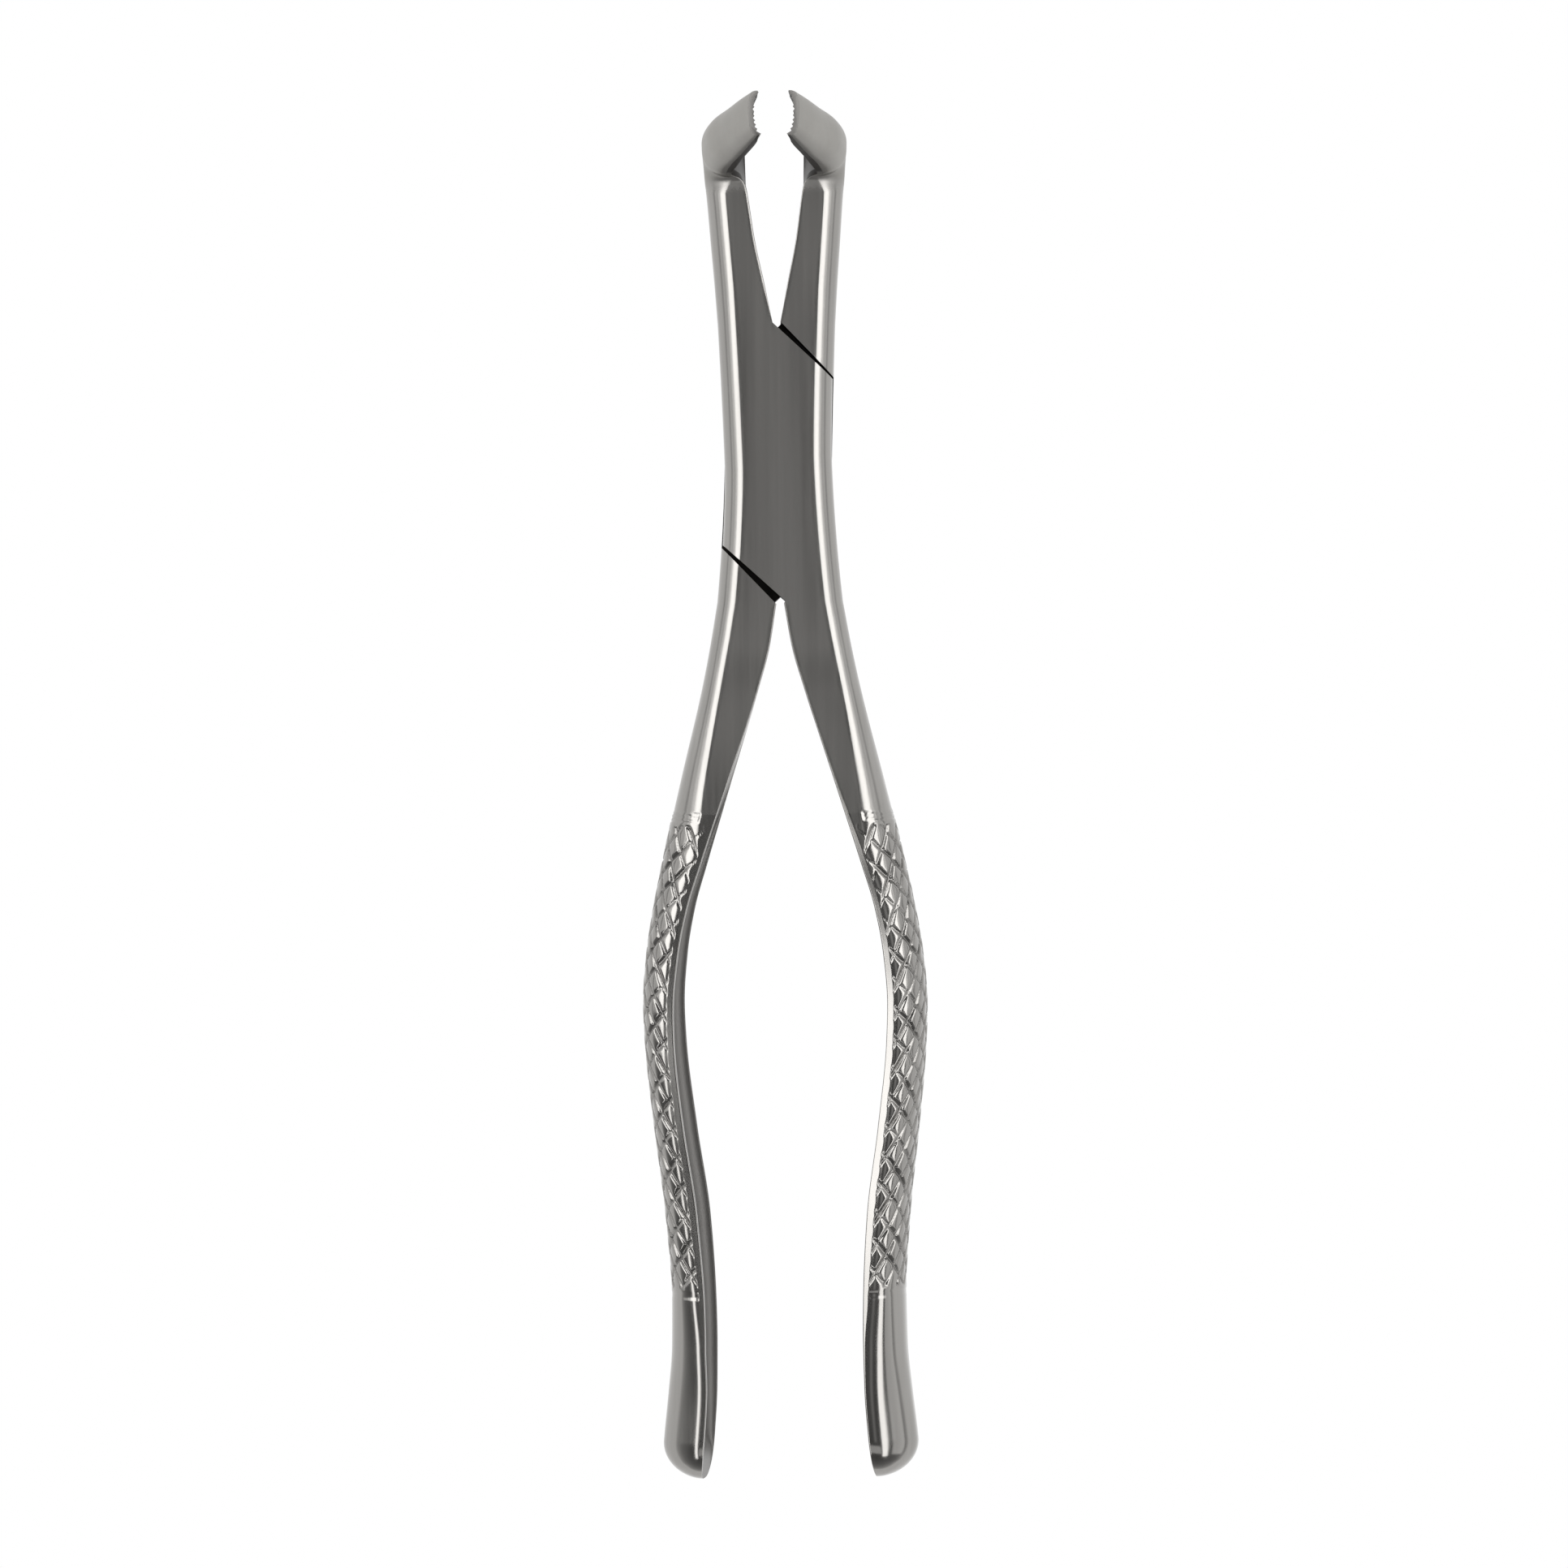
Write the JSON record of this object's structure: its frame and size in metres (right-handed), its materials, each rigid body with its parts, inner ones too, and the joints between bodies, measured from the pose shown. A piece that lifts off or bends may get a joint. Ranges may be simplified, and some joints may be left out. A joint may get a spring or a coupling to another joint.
{
  "type": "dental extraction forceps",
  "caption": "Lower extraction forceps with a lap joint, gouge beaks bent up at the tips, and hollow bowed handles with a knurled grip.",
  "frame": {"origin": "on the pivot axis, at the joint's flat back face", "axes": "+Y from the pivot towards the beaks, +Z out of the joint's front face, the way the beaks point, +X to the right seen from the front"},
  "size_m": [0.0352, 0.1694, 0.022],
  "materials": {
    "forged_steel": "satin and polished stainless steel",
    "screw_steel": "turned and ground flush"
  },
  "bodies": {
    "front": {"front_half": "forged_steel", "pivot_screw": "screw_steel"},
    "rear": {"rear_half": "forged_steel"}
  },
  "joints": [
    {"name": "pivot", "type": "hinge", "parent": "front", "child": "rear", "pos_m": [0, 0, 0.0045], "axis": [0, 0, -1], "range_deg": [-3.2, 111]}
  ]
}
